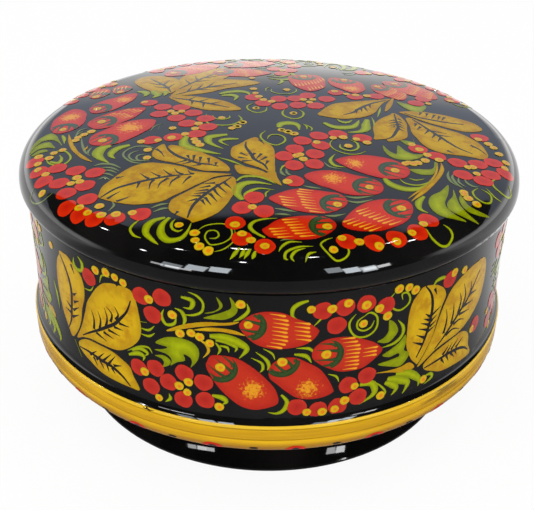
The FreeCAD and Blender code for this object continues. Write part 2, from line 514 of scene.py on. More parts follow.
LID_BERRIES = [
    -71,-40, -78.5,-37, -85.5,-38, -82,-45.5, -75.5,-48.5, -63.5,-42.5, -65.5,-51.5, -71.5,-56, -63,-61, -70,-64.5,
    -64.5,-69.5, -58.5,-73, -51.5,-74, -43,-72, -89,-29.5, -5,-62.5, -9,-69, -1.5,-71, -11,-78, -8.5,-86.5, -1,-90.5,
    9,-51, 25.5,-86.5, 34.5,-86, 42,-83, 49.5,-78.5, 54,-71.5, 71.5,-38, 71,-28.5, 78.5,-41, 82.5,-35.5, 89,-32,
    -45,16, -45.5,8, -38,3, -45.5,-18, -51.5,22, -31.5,8, -37,14.5, -26,1.5, -33,-3, -24.5,-7, -28.5,-13.5, -37.5,-16,
    19,-14, 12.5,-19, 19.5,-22.5, 9.5,-26.5, 17,-30, 5.5,-32.5, 9,-39.5, 16.5,-38, 26.5,-11.5, 36,-14, 57,-20,
    63.5,-25, 79,-28, 85.5,-25, 84.5,-2.5, -7.5,26, -3,19, 3.5,24.5, 4,15.5, 10.5,25.5, 11.5,17.5, 16,30, 19,17.5,
    24,26.5, 28.5,36, 36.5,31.5, 46,34.5, 63,30, 67,36.5]
LID_DOTS = [
    -69.5,-45.5, -68,-48.5, -71,-49.5, -81.5,-52.5, -82,-41, -65,-66, -61.5,-69.5, -58,-66, -56.5,-71.5, -51.5,-71.5,
    -46,-71, -87,-32, -46,-26.5, -45.5,-33, -83.5,-28, -86,-36.5, -29.5,-79, -24,-83.5, -23.5,-87.5, -22,-90.5,
    -19,-92.5, -11,-79, -8.5,-84, -5.5,-87.5, -1,-90.5, -5.5,-68.5, 6.5,-51.5, 24,-85, 29.5,-86.5, 36,-87.5, 42,-84.5,
    47.5,-79.5, 21,-91, 52,-74, 69.5,-51, 69.5,-52.5, 70.5,-55, 73,-58, 77,-36, 74.5,-31.5, 76.5,-31, 50.5,-33.5,
    52,-32.5, 53.5,-33, 55.5,-32, 58.5,-29.5, -49.5,-19, -43,-18.5, -71,-6.5, -73.5,-9, -75.5,-11.5, -76,-14,
    -53.5,23, -79.5,-22, -82.5,-24, -88,-26, -19.5,2, -28.5,-3.5, -29.5,-8.5, -38.5,-7.5, -33,-13.5, -38,-16.5,
    -29,-18.5, -28,-21, -26.5,-23.5, -11,-2.5, -13,-6.5, -15,-8.5, -39,8, -41,10.5, -36.5,10, 9.5,8, 4.5,-9.5, 7,-11,
    9.5,-13, 18,-20, 30,-22, 24.5,-15.5, 28.5,-14.5, 33.5,-15.5, 37.5,-18, 11.5,-31, 10,-32, 12.5,-34.5, 57.5,-20.5,
    55,-16.5, 60,-24.5, 64,-28, 83.5,-4.5, 87,-8, 88.5,-11, 89.5,-16.5, 91,-23, 89.5,-28, -7.5,37.5, 7,37, -6.5,31.5,
    -5,27, -3,23, 0.5,21, 14,24.5, 18,25, 16.5,21.5, -6,13, -8.5,54, 28,37.5, 33,34.5, 37,34, 42,34, 68.5,31]

# Strawberries: outline, crown dot, and a sponged patch (x, y, reach) or None for dashes
LID_STRAWBERRIES = [
    ([0,-63, 3.5,-59.5, 9,-56.5, 14.5,-56.5, 20,-57.5, 24.5,-58.5, 27,-62.5, 26,-66.5, 21,-70.5, 16,-71.5, 9,-70,
      3.5,-66.5], (23.5,-65.5), None),
    ([12.5,-47.5, 15.5,-44, 21,-42.5, 26,-43, 31,-45, 36,-46.5, 39.5,-49, 40.5,-52.5, 39.5,-56, 36.5,-58, 31,-59,
      26,-58, 21,-55, 16.5,-52.5], (35.5,-53), (23,-48,7)),
    ([24.5,-77, 26,-73, 29.5,-67.5, 34,-63, 39.5,-60.5, 44,-60, 48,-60.5, 49.5,-63.5, 49,-68, 46.5,-73, 42,-77,
      36.5,-80, 30.5,-80.5, 26,-79.5], (45.5,-65.5), None),
    ([-2,-82, -0.5,-80, 3,-76, 8,-74, 13.5,-73, 19,-73.5, 22,-76, 22.5,-78.5, 21,-81.5, 17,-85, 12,-86.5, 6,-86.5,
      0.5,-85.5], (19.5,-79), None),
    ([24.5,-35, 25.5,-33, 30,-30.5, 35.5,-29, 41,-29.5, 45.5,-31, 49.5,-34, 51.5,-38, 51,-41.5, 49,-44.5, 44.5,-46,
      39,-45.5, 33.5,-43, 28.5,-39.5], (46,-39.5), (31.5,-36,6)),
    ([-46,0.5, -47,2, -50.5,3, -56,2, -61.5,-1, -65.5,-5.5, -69.5,-10, -70.5,-14, -69.5,-18.5, -66,-20.5, -61.5,-20.5,
      -57,-18.5, -53,-14.5, -49.5,-10, -46.5,-5], (-65,-16), (-56,-5,9)),
    ([-52,15, -54,16.5, -59.5,16, -65,13.5, -70.5,9, -73.5,5, -74,1, -71.5,-3, -68.5,-4.5, -64,-3, -59.5,1, -55.5,5.5,
      -53.5,10], (-68.5,3), None),
    ([-84,20.5, -80,19, -77,14.5, -76,9, -76,3, -78,-2, -81.5,-5, -85.5,-5.5, -88.5,-1.5, -89.5,4, -89.5,10,
      -87,16.5], (-83.5,-2), (-83,11,8)),
    ([-59,35.5, -58,32, -59,26.5, -61.5,21.5, -65.5,16, -70.5,13.5, -74.5,14, -76.5,19, -75.5,24, -71.5,29, -66.5,32,
      -63,35], (-73,18.5), (-63,28,7)),
    ([-66,49, -62.5,46, -62,42, -64.5,38, -68,37, -70,40, -70.5,44, -69,48], (-66.5,39), None),
    ([-75,46, -71.5,43, -71.5,37, -74.5,33, -78,33, -80,37, -79,42], (-76.5,35), None),
    ([17.5,36, 23.5,41.5, 24.5,49, 24,56.5, 20,62, 9.5,60, 8,54.5, 9,47, 12,40.5], (15,58.5), None),
    ([37,36.5, 31,41.5, 27,47, 26,54.5, 29,59, 40,54.5, 42,47, 41.5,41.5], (33.5,56), (36,43,7)),
    ([56.5,32, 59.5,35.5, 60,41, 57,47, 53,51.5, 47,52, 45,48, 46,41.5, 50,36], (48,49), None)]

# Leaves: outline, middle vein, side veins
LID_LEAVES = [
    ([-13.5,-47, -19,-48.5, -22,-51, -25.5,-54, -29,-57.5, -33.5,-61.5, -36,-64, -40,-65.5, -46,-66, -51.5,-64.5,
      -55,-63, -59,-60.5, -59.5,-58, -59,-53, -56.5,-48.5, -53.5,-43.5, -49.5,-39, -44.5,-37, -39,-38, -34.5,-39.5,
      -30.5,-41.5, -28,-44, -22,-45.5, -15,-46.5],
     [-58.5,-60.5, -57,-58.5, -54,-55, -50.5,-53, -46,-51, -42,-49.5, -39,-48.5, -35,-47.5, -31,-47, -27,-46.5],
     [[-46,-51, -46.5,-55.5], [-41,-50, -42,-52.5, -42,-56.5], [-36,-49, -38.5,-52.5, -39,-56],
      [-32,-48, -34.5,-51.5, -35,-55], [-28,-48, -29.5,-50.5, -30.5,-53.5], [-56,-61.5, -54,-59, -52,-57],
      [-52.5,-63.5, -50,-62, -48,-60.5], [-55,-47.5, -52,-46.5], [-43,-49, -44.5,-47.5, -46.5,-45],
      [-39,-47.5, -40.5,-46.5, -43,-44], [-34.5,-47.5, -36.5,-45.5, -38.5,-42.5], [-31,-46.5, -33,-45, -34.5,-42],
      [-27,-46.5, -28.5,-45.5, -29.5,-43.5]]),
    ([-12,-50, -13.5,-48.5, -17,-49, -21,-51, -25,-55, -28.5,-58.5, -31.5,-61.5, -33.5,-64, -34,-68, -33,-71,
      -29.5,-74, -26,-76.5, -25.5,-77.5, -24.5,-77.5, -21,-75.5, -17,-72, -14.5,-67.5, -13,-63, -11.5,-58.5,
      -11.5,-54],
     [-13.5,-49, -16,-52.5, -18.5,-55.5, -21,-59, -23.5,-63, -25.5,-67, -26.5,-71, -27,-75],
     [[-16,-52.5, -13,-57], [-18.5,-54, -14.5,-60], [-19.5,-56.5, -18,-60, -16,-63], [-20.5,-60, -17.5,-65.5],
      [-22,-62.5, -19.5,-67.5], [-23,-64, -21.5,-67.5], [-19,-53, -23.5,-53.5], [-20.5,-55, -24.5,-56.5],
      [-21,-57.5, -25.5,-58.5], [-22,-59.5, -26,-60], [-23.5,-61.5, -27,-61.5], [-24.5,-63.5, -28,-65],
      [-30.5,-71, -31.5,-73]]),
    ([-40.5,-22, -39,-25, -37.5,-23, -33.5,-24.5, -28,-27, -24,-31, -20,-34.5, -16.5,-38.5, -14.5,-42, -14.5,-44.5,
      -19,-44.5, -24,-44, -28,-41.5, -31.5,-39.5, -36.5,-37, -41,-35, -43.5,-32, -44,-29, -43,-25],
     [-39,-23.5, -38.5,-26, -36.5,-29.5, -33.5,-33, -29.5,-36, -26,-38.5, -22,-39.5, -18.5,-41],
     [[-28,-32, -28,-38], [-25.5,-33.5, -25.5,-39], [-30.5,-32, -29.5,-35], [-22.5,-34.5, -22,-39.5],
      [-19.5,-38, -19.5,-40.5], [-30.5,-36, -34.5,-38], [-28.5,-37, -32,-39], [-25,-39.5, -28.5,-40.5],
      [-43,-26, -41,-28.5, -39,-33]]),
    ([-5.5,-17, -3.5,-19.5, -0.5,-22, 1.5,-26.5, 2,-32, 2,-39, 2,-44.5, 0,-45, -3.5,-42, -8,-39, -11,-36.5, -14,-33.5,
      -14.5,-29.5, -14,-25.5, -11.5,-23, -8.5,-19],
     [-9,-21, -9,-25.5, -7,-31, -5.5,-35.5, -2,-39.5, -0.5,-43.5],
     [[-4,-19, -2,-23], [-5.5,-30.5, -6.5,-33.5], [-3,-31, -5,-35.5], [-1,-33.5, -4,-37], [-0.5,-36.5, -1.5,-40],
      [-11,-30.5, -8,-33], [-11.5,-34, -8,-35], [-10,-37, -6,-36.5]]),
    ([-12.5,-40, -8,-41.5, -3,-44, 0.5,-47.5, 3,-51.5, 4.5,-54.5, 1,-51.5, -3,-49, -7,-47, -11,-46], [], []),
    ([2,-44.5, 3,-49, 4.5,-54.5, 1,-50, -1,-46], [], []),
    ([40.5,-14.5, 41,-11, 41,-6, 41.5,-1, 43.5,4, 46,8, 49.5,12, 51,14.5, 53,13, 54.5,9, 55.5,3.5, 55,-2, 54.5,-8,
      53.5,-11, 50,-14, 46,-15.5, 45.5,-13.5, 43.5,-14],
     [51.5,13.5, 51.5,4.5, 51.5,-1, 50,-6, 48,-11, 45.5,-13.5],
     [[52.5,8.5, 54,6.5], [52.5,5.5, 54,3.5], [52,3, 54,0.5], [52,0.5, 54,-2], [51.5,-2, 53.5,-4.5],
      [51,6.5, 48.5,5.5], [51,4, 48,2.5], [51,1.5, 48,0.5], [50.5,-0.5, 48.5,-1.5]]),
    ([56,10, 56,6, 56.5,0.5, 56.5,-5, 58,-10.5, 59.5,-15.5, 62,-19, 66,-21.5, 70.5,-22, 73.5,-22, 78,-22.5, 82,-23,
      84.5,-20, 84.5,-14.5, 83.5,-9.5, 80.5,-4.5, 76.5,-0.5, 71.5,2, 66.5,4.5, 62,7, 58.5,10.5],
     [58.5,9.5, 61,5, 64,-0.5, 67,-5.5, 70,-10.5, 73.5,-15.5, 78.5,-19.5],
     [[59.5,5, 58.5,1], [61,2, 59,-2], [64,-1, 61.5,-5.5], [66,-4.5, 64,-9], [68,-7, 66,-11.5], [65,-1.5, 71,-2.5],
      [67,-5, 73,-5.5], [79,-11.5, 82,-14.5, 84,-19], [68.5,-19, 71,-21]]),
    ([54,16.5, 62,19.5, 68,19, 73.5,18, 80,15.5, 84.5,13, 87,9, 87,5.5, 83.5,3, 79,2, 74.5,3, 70,5, 65.5,7, 61,10,
      56.5,14],
     [56,15.5, 62,12, 68,10.5, 73.5,9.5, 80,9.5],
     [[63.5,18.5, 62,14.5], [66,18, 65,14], [69,17, 67,12], [71,16, 69.5,11.5], [73,15.5, 71,11]]),
    ([19.5,7.5, 21,11.5, 23.5,16.5, 27,21, 33,24, 39,26.5, 46,29.5, 52,32, 48.5,26.5, 46,20.5, 44,14.5, 41.5,10.5,
      37,6.5, 35.5,6, 30,4, 24,5],
     [50,30, 44.5,25.5, 39.5,20, 36.5,15.5, 34,11.5, 30,8.5],
     [[38,18, 38,13], [36,15.5, 35.5,11], [39.5,19, 40.5,14], [42,23, 42,18]]),
    ([48,15.5, 48.5,20, 50,26, 53.5,34.5, 52.5,27, 50.5,20], [], []),
    ([-43.5,28.5, -36,29, -27,25.5, -18.5,20.5, -12,11.5, -18,10, -26,11, -33.5,15.5, -39.5,22],
     [-42,27, -34,23, -26,18.5, -17,13.5],
     [[-35,23.5, -32,27], [-30,21, -26,24.5], [-33,22, -33,17.5], [-28,19.5, -28,13.5], [-25,18, -21,20.5]]),
    ([-43,29.5, -36,30, -27.5,32.5, -19.5,38, -10.5,42, -5,46, -8,49.5, -15.5,51.5, -26,52, -35,47, -40,38.5],
     [-41,31, -34,36, -26,41, -15,46],
     [[-36,35, -35,42], [-32,38, -30,45], [-28,40, -25,48], [-33,37, -26,36.5], [-28,40, -20,41]]),
    ([-45,33, -51.5,36.5, -57,43, -61,50, -62,56, -59,61, -53,62, -47.5,59, -43,55, -39.5,48, -40,41.5, -42,35.5],
     [-43.5,35, -46,42, -50,49, -55,57],
     [[-46,41, -52,44], [-49,46, -55,50], [-45.5,41, -43,47], [-48,46, -46,53]]),
    ([-41.5,35, -40,43.5, -41.5,54, -38,63, -32,70.5, -23.5,72, -16,68.5, -18.5,59, -23,50.5, -29,45.5, -36,42],
     [-40,39, -35,48, -30,56, -24,64],
     [[-36,46, -39,53], [-33,51, -35,59], [-34,49, -28,51], [-30,55, -24,58]])]

# Bright green: comma strokes with their greatest width, even lines with their width, filled outlines
LID_GREEN_COMMAS = [
    (1.6, [-11.5,-51.5, -9,-48.5, -4,-48.5, 0,-51, 2.5,-53.5]),
    (3.6, [-9,-64, -11,-60, -10.5,-55.5, -8,-53, -4,-52.5, 1,-54]),
    (1.8, [-8,-63.5, -8,-60.5, -6,-58, -3,-56.5, 2,-57.5]), (0.8, [-1,-62, -1,-59.5, 0.5,-57.5]),
    (2.8, [-34.5,-74.5, -38,-76, -40,-79, -40,-83, -37.5,-86.5, -35.5,-88.5]),
    (2.8, [-33,-74.5, -35,-78.5, -35,-83.5, -32.5,-87, -28.5,-86.5, -26.5,-83, -25.5,-78]),
    (1.6, [-9,-91.5, -10.5,-94, -12,-96]), (1.6, [-7.5,-92, -8,-94, -9,-95.5]), (1.6, [-5.5,-92, -6.5,-94, -7.5,-96]),
    (1.6, [-4,-93, -4.5,-95, -5,-96]), (1.6, [-1,-86, -4.5,-83, -6,-80, -4.5,-77, -1,-75.5, 3,-75]),
    (5.2, [-61,-21, -64,-23, -65,-27, -63.5,-31, -59.5,-35.5]),
    (3.6, [-53.5,-21.5, -57.5,-23.5, -59.5,-27, -59.5,-30, -57.5,-32.5]), (1.8, [-82.5,-8, -81,-11.5, -80,-16.5]),
    (2, [-82.5,-31, -80,-32.5, -78.5,-32, -78.5,-29, -80,-26]),
    (4.2, [-32,-15.5, -33,-19.5, -32,-24, -28,-27, -23,-29.5, -18,-31.5]),
    (3.6, [-16.5,-14.5, -20.5,-15.5, -23.5,-17, -23.5,-20.5, -21.5,-23.5, -17.5,-27]),
    (2.2, [-12,-18.5, -15.5,-18.5, -18.5,-19.5, -18.5,-21.5, -15.5,-24.5]),
    (4, [3.5,-7, 4.5,-3.5, 8,-2.5, 11,-4.5, 11.5,-9.5]), (3.8, [21.5,-1, 25,-4.5, 29,-5, 33,-3.5, 35,0, 36,3.5]),
    (4.2, [39.5,5, 38.5,-1, 38,-5, 35.5,-8, 30.5,-9.5]), (3.6, [41.5,-46, 43.5,-50, 48.5,-52.5, 54,-51, 57.5,-46.5]),
    (2.5, [54.5,-56.5, 52,-61, 52,-65, 54.5,-67]), (3.6, [-22,30.5, -18.5,33, -13.5,34, -10,32, -9,28.5]),
    (3.2, [-21,28.5, -17,29, -14.5,26.5, -15.5,21.5]), (3.5, [-58.5,38, -55,36.5, -54,33, -55,30.5]),
    (4.5, [-52,38, -50,35, -49,31, -51,28]), (3, [-47,37, -45.5,34, -46,30]), (2, [4.5,53, 5,48.5, 3,44.5])]
LID_GREEN_LINES = [
    (0.9, [-43,-75.5, -44.5,-77.5, -45.5,-80.5, -44,-83.5, -41.5,-85]),
    (1, [-31,-75.5, -32,-78, -31.5,-81, -29.5,-82.5, -28,-81.5]),
    (0.6, [-23,-82, -20.5,-79.5, -17,-78.5, -14,-79, -12,-82, -12,-86, -14.5,-89, -18,-90, -19.5,-88.5, -20.5,-85.5,
           -19.5,-82.5, -17,-82.5, -16,-85, -17,-86.5, -19,-86.5]),
    (0.5, [-11,-82, -10.5,-86, -11.5,-89, -14,-92, -17,-93]),
    (0.7, [21,-85, 18.5,-86.5, 17,-89, 19,-92.5, 22,-95, 25,-93.5, 26,-91, 24.5,-88.5]),
    (1, [11,-88, 7,-88, 4.5,-90.5, 3.5,-93]), (1, [14.5,-90, 10,-90.5, 6,-93, 5.5,-95.5, 6.5,-96]),
    (1, [12,-91, 9,-92.5, 7.5,-95, 8.5,-96.5]), (1, [15.5,-92.5, 13,-93.5, 12,-96.5]),
    (0.9, [-84.5,-29, -82.5,-32.5, -79.5,-34.5, -76.5,-34, -75,-31, -75.5,-27.5, -78,-23.5, -81,-22.5, -83.5,-24]),
    (0.9, [-26,6.5, -26,0.5, -24,-4, -19,-5.5, -14.5,-4.5, -11.5,0, -13,5]),
    (0.8, [-23.5,5, -22,1.5, -19,0.5, -16.5,2, -16.5,4.5]),
    (0.8, [-1.5,-10.5, -3.5,-14.5, -3,-18.5, -0.5,-22, 2.5,-23.5, 5,-21.5, 6,-18.5, 5,-15.5, 2.5,-14, 0,-15,
           -1,-18.5]),
    (0.8, [13,-3, 14.5,-5.5, 14.5,-8.5]), (0.8, [14,-3.5, 16.5,-7, 16,-10]),
    (1.6, [27,3.5, 28.5,1, 31,0.5, 33.5,3.5]), (0.8, [41.5,8, 42,3, 41.5,-3]),
    (0.6, [24.5,-16.5, 23,-21, 24.5,-25.5, 28.5,-28.5, 33,-28.5, 36.5,-25.5]),
    (1, [31,-16.5, 33.5,-19, 33.5,-23.5, 30.5,-26, 27,-24, 27,-20.5]), (0.9, [4,-44.5, 5,-40.5, 8,-38.5]),
    (0.9, [6,12, 5,8.5, 6,4.5, 10,2, 13,4.5, 13.5,9, 11.5,12]),
    (0.8, [-7,18.5, -9.5,15.5, -9,11, -5.5,8, -2,10, -1.5,14.5]),
    (0.7, [0.5,37.5, 0.5,34, 3.5,31.5, 8,31.5, 11,35, 11,39]), (0.7, [-2,33.5, -2,38, 0,40]),
    (0.8, [47,-45.5, 49,-48.5, 53.5,-49, 58,-46, 59.5,-43.5]), (0.8, [50.5,-44.5, 53,-45.5, 56.5,-44]),
    (0.8, [75.5,-47, 73,-50, 73.5,-54, 76,-56, 79,-54.5, 79.5,-50.5, 76.5,-47.5]),
    (0.9, [84.5,-38, 82,-40.5, 82,-44.5, 85,-46.5, 88.5,-46, 90.5,-43, 89,-39]),
    (0.8, [78.5,-46.5, 81,-50.5, 84.5,-51]),
    (0.9, [59,-73, 61.5,-74.5, 62.5,-77, 61,-80.5, 58,-81.5, 54.5,-80, 52.5,-76.5]),
    (1.4, [24.5,-29.5, 22.5,-34.5, 24,-38.5, 28,-39.5]), (1, [44,8, 45.5,15, 46.5,20]),
    (1.1, [-19,-34, -14,-37, -9,-41])]
LID_GREEN_SHAPES = [
    [-93,-21, -93,-14.5, -91,-8.5, -88,-5, -85,-7.5, -83,-12, -80.5,-18, -83.5,-13.5, -86.5,-11.5, -89.5,-12,
     -91.5,-16],
    [-92.5,-22.5, -91.5,-17, -89.5,-14, -86.5,-13.5, -84.5,-16.5, -83,-19.5, -86,-18.5, -89,-19, -91,-21],
    [-91.5,-24, -90,-21.5, -88,-20, -86,-20.5, -85.5,-22, -87.5,-22.5, -89.5,-24],
    [43.5,-19.5, 43.5,-24, 45,-28, 48.5,-30.5, 53,-30, 56.5,-28, 58.5,-24.5, 55,-25, 52,-23, 49.5,-18.5, 48.5,-23,
     48,-26, 45.5,-24],
    [51,-13.5, 54,-18, 56.5,-14.5],
    [62,-30, 61,-34.5, 59,-36.5, 54.5,-37, 51.5,-38, 54,-40.5, 56.5,-41, 60,-40, 61.5,-36, 63,-31.5],
    [64.5,-47, 61,-52, 57,-56, 55.5,-61, 56.5,-65.5, 59.5,-68.5, 64,-69, 68,-68.5, 64.5,-67, 62,-63.5, 61.5,-59.5,
     63.5,-53.5],
    [66,-50, 65,-54.5, 62.5,-59, 62,-63, 64,-65.5, 68,-67, 73.5,-67, 70,-65.5, 68,-63.5, 66.5,-59],
    [68,-53.5, 67,-56.5, 67.5,-61, 69.5,-63.5, 73.5,-63.5, 78.5,-61.5, 73,-61.5, 70,-60, 69,-57],
    [54.5,29, 56,24, 59.5,19, 63.5,19, 66.5,24.5, 66.5,28, 63,25.5, 58,28]]
# Dull grey-green lines
LID_DULL_LINES = [
    (0.9, [-74,-5, -76.5,-8, -76.5,-12.5]), (0.9, [-73,-3, -76,-4, -77,-9]),
    (1, [-74,-12, -72.5,-18.5, -70,-25.5, -67.5,-29]), (1, [-68,-21.5, -69,-24.5, -68.5,-28.5]),
    (1.2, [-40,-68.5, -37,-66.5, -34,-66]), (1.2, [-39,-71, -36,-69, -33.5,-69]), (1.2, [2,-69, 6,-70, 9.5,-71]),
    (1.1, [2,-72.5, 5,-72.5, 7.5,-73]), (1.2, [19,-72.5, 22,-72.5, 26,-71]), (1.3, [26.5,-62.5, 30.5,-63.5, 36,-61]),
    (1.3, [26,-60, 30.5,-60.5, 36.5,-58.5]), (1.1, [12,-54, 15,-55, 18.5,-55.5]), (1.2, [4,-42, 4.5,-45.5, 6,-47.5]),
    (1.1, [6,-42, 6.5,-45.5, 8,-47]), (0.6, [-85,-46, -88,-51, -85,-55, -80.5,-56.5, -76.5,-54.5]),
    (1.3, [-54,-40.5, -58,-37, -62,-36, -65,-37.5]), (1.1, [-54.5,-42.5, -58,-39.5, -62,-39]),
    (1.1, [-55,-44, -58,-41.5, -61,-41]), (1.1, [-56,-46, -58.5,-44, -61,-43.5]),
    (1.1, [-57,-48.5, -59.5,-46.5, -61.5,-48]), (1, [-54,-63.5, -53,-66, -54.5,-69.5]),
    (0.9, [-43.5,-25.5, -46.5,-23.5, -50.5,-23, -53.5,-25, -55,-28.5, -54,-32, -50.5,-36, -46,-37.5]),
    (0.9, [-49,-26.5, -52,-28.5, -52.5,-31.5, -50.5,-34.5, -48,-35.5]),
    (0.9, [-46,-30, -49,-30.5, -49.5,-33, -48,-35, -43.5,-35]), (0.7, [-47,-9.5, -46,-5, -43,-2.5]),
    (0.7, [-44,-4.5, -44,-8.5]), (0.9, [20,-36, 22,-39.5, 26.5,-41]), (1.1, [66.5,-36, 65.5,-40, 66,-44, 68,-47]),
    (1.1, [68,-38, 67,-41, 68,-45.5, 70,-48.5]), (1, [69.5,-40, 69,-44, 71,-47]),
    (1, [71.5,-40.5, 72,-44, 74,-46, 76,-46]), (1, [9.5,-86.5, 6,-86.5, 4,-87.5]), (0.9, [56,-11, 56.5,-15])]
LID_GOLD_LINES = [
    (1.6, [-80,-7.5, -78,-14.5, -75.5,-21.5, -72.5,-26.5, -69.5,-30.5, -66,-34]),
    (1, [-75.5,-19, -73.5,-24.5, -70.5,-29, -67,-33]), (1.6, [-69.5,-6.5, -72.5,-7.5, -75.5,-11, -76.5,-15.5]),
    (1, [-70,-20, -70.5,-22.5, -71,-24]), (1.6, [64.5,-30, 64,-35.5, 61.5,-42, 57,-50, 53.5,-55, 49.5,-60.5]),
    (0.8, [63,-30.5, 62,-36, 60,-42, 55.5,-50, 52,-54.5, 48.5,-59])]

# Wall painting: a round the wall, z up

WALL_BERRIES = [
    -67,83, -46.5,53, -43.5,84, -35.5,85.5, -39.5,77.5, -39.5,55, -41.5,46.5, -34.5,50.5, -28.5,56, -21.5,53.5,
    -29,44.5, -21,46, 18.5,84.5, 26,85, 33.5,85, 41,82.5, 23.5,78, 29,52, 36,54.5, 33,46, 25.5,43.5, 18.5,43, 11,45,
    69,84, 92,53.5]
WALL_DOTS = [
    -91,85.5, -63,87.5, -58,88.5, -54,88, -50.5,87, -40.5,83.5, -32,79.5, -29.5,72.5, -25.5,73.5, -22.5,72.5,
    -19,70.5, -8.5,87.5, -44,52, -27,52.5, -30.5,50, -27.5,48, -38.5,42.5, -16,44, 14.5,85.5, 21.5,85, 27,86.5,
    33.5,84.5, 38.5,82, 42,78, 33,77, 45.5,88, 49.5,87.5, 52.5,85.5, 31.5,51, 28,45.5, 24.5,42.5, 20,42, 14.5,42.5,
    42,44, 61,44, 71,86, 77,84.5, 89.5,52.5]
WALL_STRAWBERRIES = [
    ([-20,63, -18.5,65.5, -14,66, -9,65, -4,61.5, -0.5,58, 3,53.5, 4.5,49, 4,46.5, 1,45, -3.5,44, -8,45, -11.5,47.5,
      -15.5,51.5, -18.5,56, -20.5,60.5], (-15.5,61), (-4.5,52.5,7)),
    ([-9,78.5, -8,81, -5,83.5, -0.5,85, 5,84.5, 10,82, 14,80, 17,77.5, 17.5,76, 15.5,73, 12,71, 6.5,70, 2,70, -3,71.5,
      -6.5,74.5], (-6,79.5), None),
    ([1,60.5, 2,63.5, 5.5,66, 10,66, 14.5,63.5, 18.5,60.5, 21.5,56, 23.5,51.5, 23.5,50, 20.5,48.5, 16,48, 11,49, 7,52,
      4,55, 1.5,57.5], (5.5,64.5), (14.5,53,6.5)),
    ([15.5,67.5, 16.5,70, 20,72.5, 25,73, 30,72, 34.5,70, 38,68, 41,65, 41,63.5, 39,61.5, 34.5,58.5, 30,58, 25.5,58.5,
      21.5,60.5, 18.5,62.5, 16,65], (20.5,66.5), None)]
